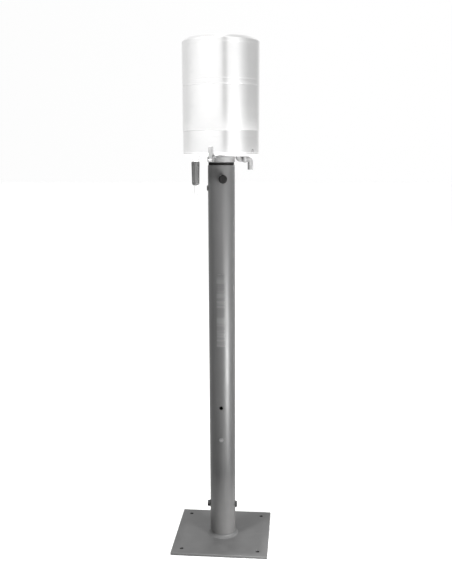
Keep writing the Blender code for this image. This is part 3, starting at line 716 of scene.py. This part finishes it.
# ---------------------------------------------------------------- housing, collector, reservoir
def housing():
    skirt = [(TONGUE_IN, 990), (TONGUE_R, 990), (TONGUE_R, SKIRT_TOP + 0.2), (SKIRT_R - SEAM, SKIRT_TOP),
             (SKIRT_R - SEAM, SKIRT_TOP - SEAM_HALF), (SKIRT_R, SKIRT_TOP - SEAM_HALF),
             (SKIRT_R, SKIRT_LOW + 1.2), (SKIRT_R - 0.5, SKIRT_LOW), (SKIRT_IN, SKIRT_LOW),
             (SKIRT_IN, SKIRT_TOP - 3.5), (TONGUE_IN, SKIRT_TOP - 2.0)]
    piece = turned("skirt_shell", skirt, STEEL, None, SHEET_EDGE, True, WIDE)
    put(piece, "housing", "stainless", "housing_skirt")
    low = SKIRT_TOP + GAP
    barrel = [(BARREL_IN, BARREL_TOP), (HEAD_R - SEAM, BARREL_TOP), (HEAD_R - SEAM, BARREL_TOP - SEAM_HALF),
              (HEAD_R, BARREL_TOP - SEAM_HALF), (HEAD_R, low + SEAM_HALF), (HEAD_R - SEAM, low + SEAM_HALF),
              (HEAD_R - SEAM, low), (BARREL_IN, low)]
    piece = turned("barrel_shell", barrel, STEEL, None, SHEET_EDGE, True, WIDE)
    put(piece, "housing", "stainless", "housing_barrel")
    seat = SKIRT_R + GAP
    for i, a in enumerate((59, -121)):
        rivet = [(0, seat + 1.35), (1.4, seat + 1.3), (2.7, seat + 0.9), (3.6, seat + 0.2), (3.6, seat),
                 (0, seat)]
        piece = turned("skirt_rivet_dome_%d" % (i + 1), rivet, RIVET, outwards(a, 933), 0.2 * MM, False,
                       SMALL)
        put(piece, "housing", "zinc", "skirt_rivet_%d" % (i + 1))
    pad = [(seat, 940), (SKIRT_R + 1.6, 940), (SKIRT_R + 1.6, 934), (seat, 934)]
    ring = turned("latch_keeper_pad", pad, ZINC, None, 0.25 * MM, True, 720)
    turn = Matrix.Rotation(math.radians(LATCH_AZ), 4, "Z")
    keep = box_object("keep", (-4.2, -100, 930), (4.2, -60, 950), STEEL, 0.0, turn)
    put(cut(ring, [keep], "INTERSECT"), "housing", "zinc", "latch_keeper")


def collector():
    groove = 1085.0
    shell = [(SHELL_IN, SHELL_TOP), (HEAD_R, SHELL_TOP), (HEAD_R, groove + 2.2), (HEAD_R - 0.18, groove),
             (HEAD_R, groove - 2.2), (HEAD_R, SHELL_LOW + SEAM_HALF),
             (HEAD_R - SEAM, SHELL_LOW + SEAM_HALF), (HEAD_R - SEAM, SHELL_LOW), (TONGUE_R, SHELL_LOW),
             (TONGUE_R, 1060), (TONGUE_IN, 1060), (TONGUE_IN, BARREL_TOP + 2.8),
             (SHELL_IN, BARREL_TOP + 4.3)]
    piece = turned("collector_shell_drawn", shell, STEEL, None, SHEET_EDGE, True, WIDE)
    put(piece, "collector", "stainless", "collector_shell")
    low = SHELL_TOP + 0.02
    rim = [(MOUTH_R, RIM_TOP), (MOUTH_R + 0.3, RIM_TOP), (HEAD_R - 0.5, RIM_SHOULDER + 0.5),
           (HEAD_R, RIM_SHOULDER - 0.8), (HEAD_R, low), (RIM_IN, low), (RIM_IN, CONE_TOP + GAP),
           (MOUTH_R, CONE_TOP + GAP)]
    piece = turned("knife_edge_rim", rim, STEEL, None, SHEET_EDGE, True, WIDE)
    put(piece, "collector", "stainless", "collector_rim")
    cone = [(MOUTH_R, CONE_TOP), (RIM_IN, CONE_TOP), (RIM_IN, 1146.2), (81.2, 1146.2), (81.2, 1139.5),
            (8.3, 1066.6), (8.3, 1060), (7.0, 1060), (7.0, 1067.2), (MOUTH_R, 1140)]
    piece = turned("funnel_cone_spun", cone, INNER, None, 1.2 * MM, True, WIDE)
    put(piece, "collector", "stainless", "funnel_cone")
    stem = [(5.5, 1064), (6.7, 1064), (6.7, 1017), (6.3, 1016), (5.5, 1016)]
    piece = turned("funnel_stem_tube", stem, INNER, None, 0.2 * MM, True, MEDIUM)
    put(piece, "collector", "stainless", "funnel_stem")

    dome = [(0, 1087.9), (1.8, 1087.6), (2.5, 1086.6), (2.5, 1085.6), (1.7, 1084.6), (1.7, 1082.6),
            (3.0, 1081.4), (12.6, 1078), (13.4, 1077.2), (13.3, 1076.4), (12.4, 1075.9), (0, 1079.2)]
    piece = turned("strainer_dome", dome, ZINC, None, 0.35 * MM, False, MEDIUM)
    tools = []
    for count, radius in ((8, 6.0), (14, 9.6)):
        for i in range(count):
            t = 2 * math.pi * i / count
            tools.append(drill(0.95, 1070, 1090, at_xy(radius * math.cos(t), radius * math.sin(t)), 16))
    put(cut(piece, tools), "strainer", "zinc", "strainer")


def reservoir():
    can = [(0, RES_LOW + 1.5), (RES_R - 3.0, RES_LOW + 1.5), (RES_R - 1.5, RES_LOW + 3),
           (RES_R - 1.5, RES_TOP), (RES_R, RES_TOP), (RES_R, 1000), (RES_R - 0.5, 998.5), (RES_R, 997),
           (RES_R, RES_LOW + 2.4), (RES_R - 2.2, RES_LOW), (0, RES_LOW)]
    piece = turned("reservoir_can_drawn", can, INNER, None, 0.6 * MM, False)
    hole = drill(4.3, 930, 950, at_xy(COCK_X, 0))
    put(cut(piece, [hole]), "reservoir", "stainless", "reservoir_can")
    top = RES_TOP + 1.8
    lid = [(9.0, top), (60, top), (61, top - 0.6), (64, top - 0.6), (65, top), (70.8, top), (72, top - 1.2),
           (72, 1018.4), (71.5, 1018), (RES_R + GAP, 1018), (RES_R + GAP, RES_TOP + GAP),
           (9.0, RES_TOP + GAP)]
    piece = turned("reservoir_lid_pressed", lid, INNER, None, 0.4 * MM)
    put(piece, "reservoir", "stainless", "reservoir_lid")
    outlet = [(1.5, 943.2), (5.6, 943.2), (6.0, 942.8), (6.0, 941.8), (4.0, 941.8), (4.0, 935), (2.5, 935),
              (2.5, 927), (1.5, 927)]
    piece = turned("reservoir_outlet_tube", outlet, ZINC, at_xy(COCK_X, 0), 0.2 * MM, True, SMALL)
    put(piece, "reservoir", "zinc", "reservoir_outlet")
    bow = bent_path([(-18, 1030.1), (-18, 1048), (18, 1048), (18, 1030.1)], 6.0, 8)
    for i, y in enumerate((-45, 45)):
        piece = tube("reservoir_handle_bow_%d" % (i + 1), bow, 1.8 * MM, ZINC, at_xy(0, y), 20)
        put(piece, "reservoir", "zinc", "reservoir_handle_%d" % (i + 1))


# ---------------------------------------------------------------- floor and light
FLOOR_HALF, FLOOR_DROP = 25.0, 0.0006            # half width, and how far below the plate, m
FLOOR_GREY, FLOOR_ROUGHNESS = 0.95, 0.9
# brightness of the surroundings at each azimuth
WALLS = ((-180, 1.0), (-158, 0.98), (-145, 0.78), (-112, 0.78), (-84, 0.98), (-60, 1.1), (-8, 1.12),
         (7, 1.04), (12, 0.62), (21, 0.62), (26, 1.06), (56, 1.12), (73, 0.8), (92, 0.6), (135, 0.56),
         (150, 0.68), (165, 1.0))
CEILING = 1.3                                    # how much brighter it is overhead
CEILING_FROM, CEILING_FULL = 0.25, 0.9           # sine of the elevation where that starts and ends
# name, azimuth, distance, height, panel's width and height, watts, height aimed at
LAMPS = (("low_strip", 49.0, 1.25, 0.16, 0.34, 0.30, 56.0, 0.40),
         ("tall_strip", 49.0, 1.30, 0.60, 0.26, 0.60, 4.0, 0.60),
         ("high_key", -42.0, 2.2, 3.20, 0.55, 0.55, 90.0, 0.40))


def floor():
    floor_mat = Nodes("pale_floor").finish()
    bsdf = floor_mat.node_tree.nodes["Principled BSDF"]
    bsdf.inputs["Base Color"].default_value = (*grey(FLOOR_GREY), 1)
    bsdf.inputs["Roughness"].default_value = FLOOR_ROUGHNESS
    bm = bmesh.new()
    bmesh.ops.create_grid(bm, x_segments=1, y_segments=1, size=FLOOR_HALF)
    mesh_object("floor", bm, floor_mat, Matrix.Translation((0, 0, -FLOOR_DROP)))


def surroundings():
    """A world whose brightness depends on the azimuth, and rises overhead."""
    world = bpy.data.worlds.new("studio")
    bpy.context.scene.world = world
    world.use_nodes = True
    tree = world.node_tree
    coords = tree.nodes.new("ShaderNodeTexCoord").outputs["Generated"]
    split = tree.nodes.new("ShaderNodeSeparateXYZ")
    tree.links.new(coords, split.inputs["Vector"])
    flip = tree.nodes.new("ShaderNodeMath")
    flip.operation = "MULTIPLY"
    flip.inputs[1].default_value = -1.0
    tree.links.new(split.outputs["Y"], flip.inputs[0])
    angle = tree.nodes.new("ShaderNodeMath")
    angle.operation = "ARCTAN2"
    tree.links.new(split.outputs["X"], angle.inputs[0])
    tree.links.new(flip.outputs["Value"], angle.inputs[1])
    turn = tree.nodes.new("ShaderNodeMapRange")
    turn.inputs["From Min"].default_value = -math.pi
    turn.inputs["From Max"].default_value = math.pi
    tree.links.new(angle.outputs["Value"], turn.inputs["Value"])
    ramp = tree.nodes.new("ShaderNodeValToRGB")
    tree.links.new(turn.outputs["Result"], ramp.inputs["Fac"])
    stops = ramp.color_ramp.elements
    while len(stops) > 1:
        stops.remove(stops[-1])
    for i, (azimuth, level) in enumerate(WALLS):
        position = (azimuth + 180.0) / 360.0
        stop = stops[0] if i == 0 else stops.new(position)
        stop.position = position
        stop.color = (level, level, level, 1.0)
    lift = tree.nodes.new("ShaderNodeMapRange")
    lift.interpolation_type = "SMOOTHSTEP"
    lift.inputs["From Min"].default_value = CEILING_FROM
    lift.inputs["From Max"].default_value = CEILING_FULL
    lift.inputs["To Min"].default_value = 1.0
    lift.inputs["To Max"].default_value = CEILING
    tree.links.new(split.outputs["Z"], lift.inputs["Value"])
    background = tree.nodes["Background"]
    tree.links.new(ramp.outputs["Color"], background.inputs["Color"])
    tree.links.new(lift.outputs["Result"], background.inputs["Strength"])


def lamps():
    for name, azimuth, distance, z, wide, tall, power, aim in LAMPS:
        data = bpy.data.lights.new(name, "AREA")
        data.shape = "RECTANGLE"
        data.size = wide
        data.size_y = tall
        data.energy = power
        lamp = bpy.data.objects.new(name, data)
        turn = math.radians(azimuth)
        at = Vector((distance * math.sin(turn), -distance * math.cos(turn), z))
        lamp.location = at
        lamp.rotation_euler = (Vector((0, 0, aim)) - at).to_track_quat("-Z", "Y").to_euler()
        bpy.context.scene.collection.objects.link(lamp)


add_camera()
base_plate()
post()
base_bolt()
clamp()
head_frame()
drain_cock()
overflow()
latch()
housing()
collector()
reservoir()
floor()
surroundings()
lamps()
bpy.context.scene.view_settings.view_transform = "Standard"
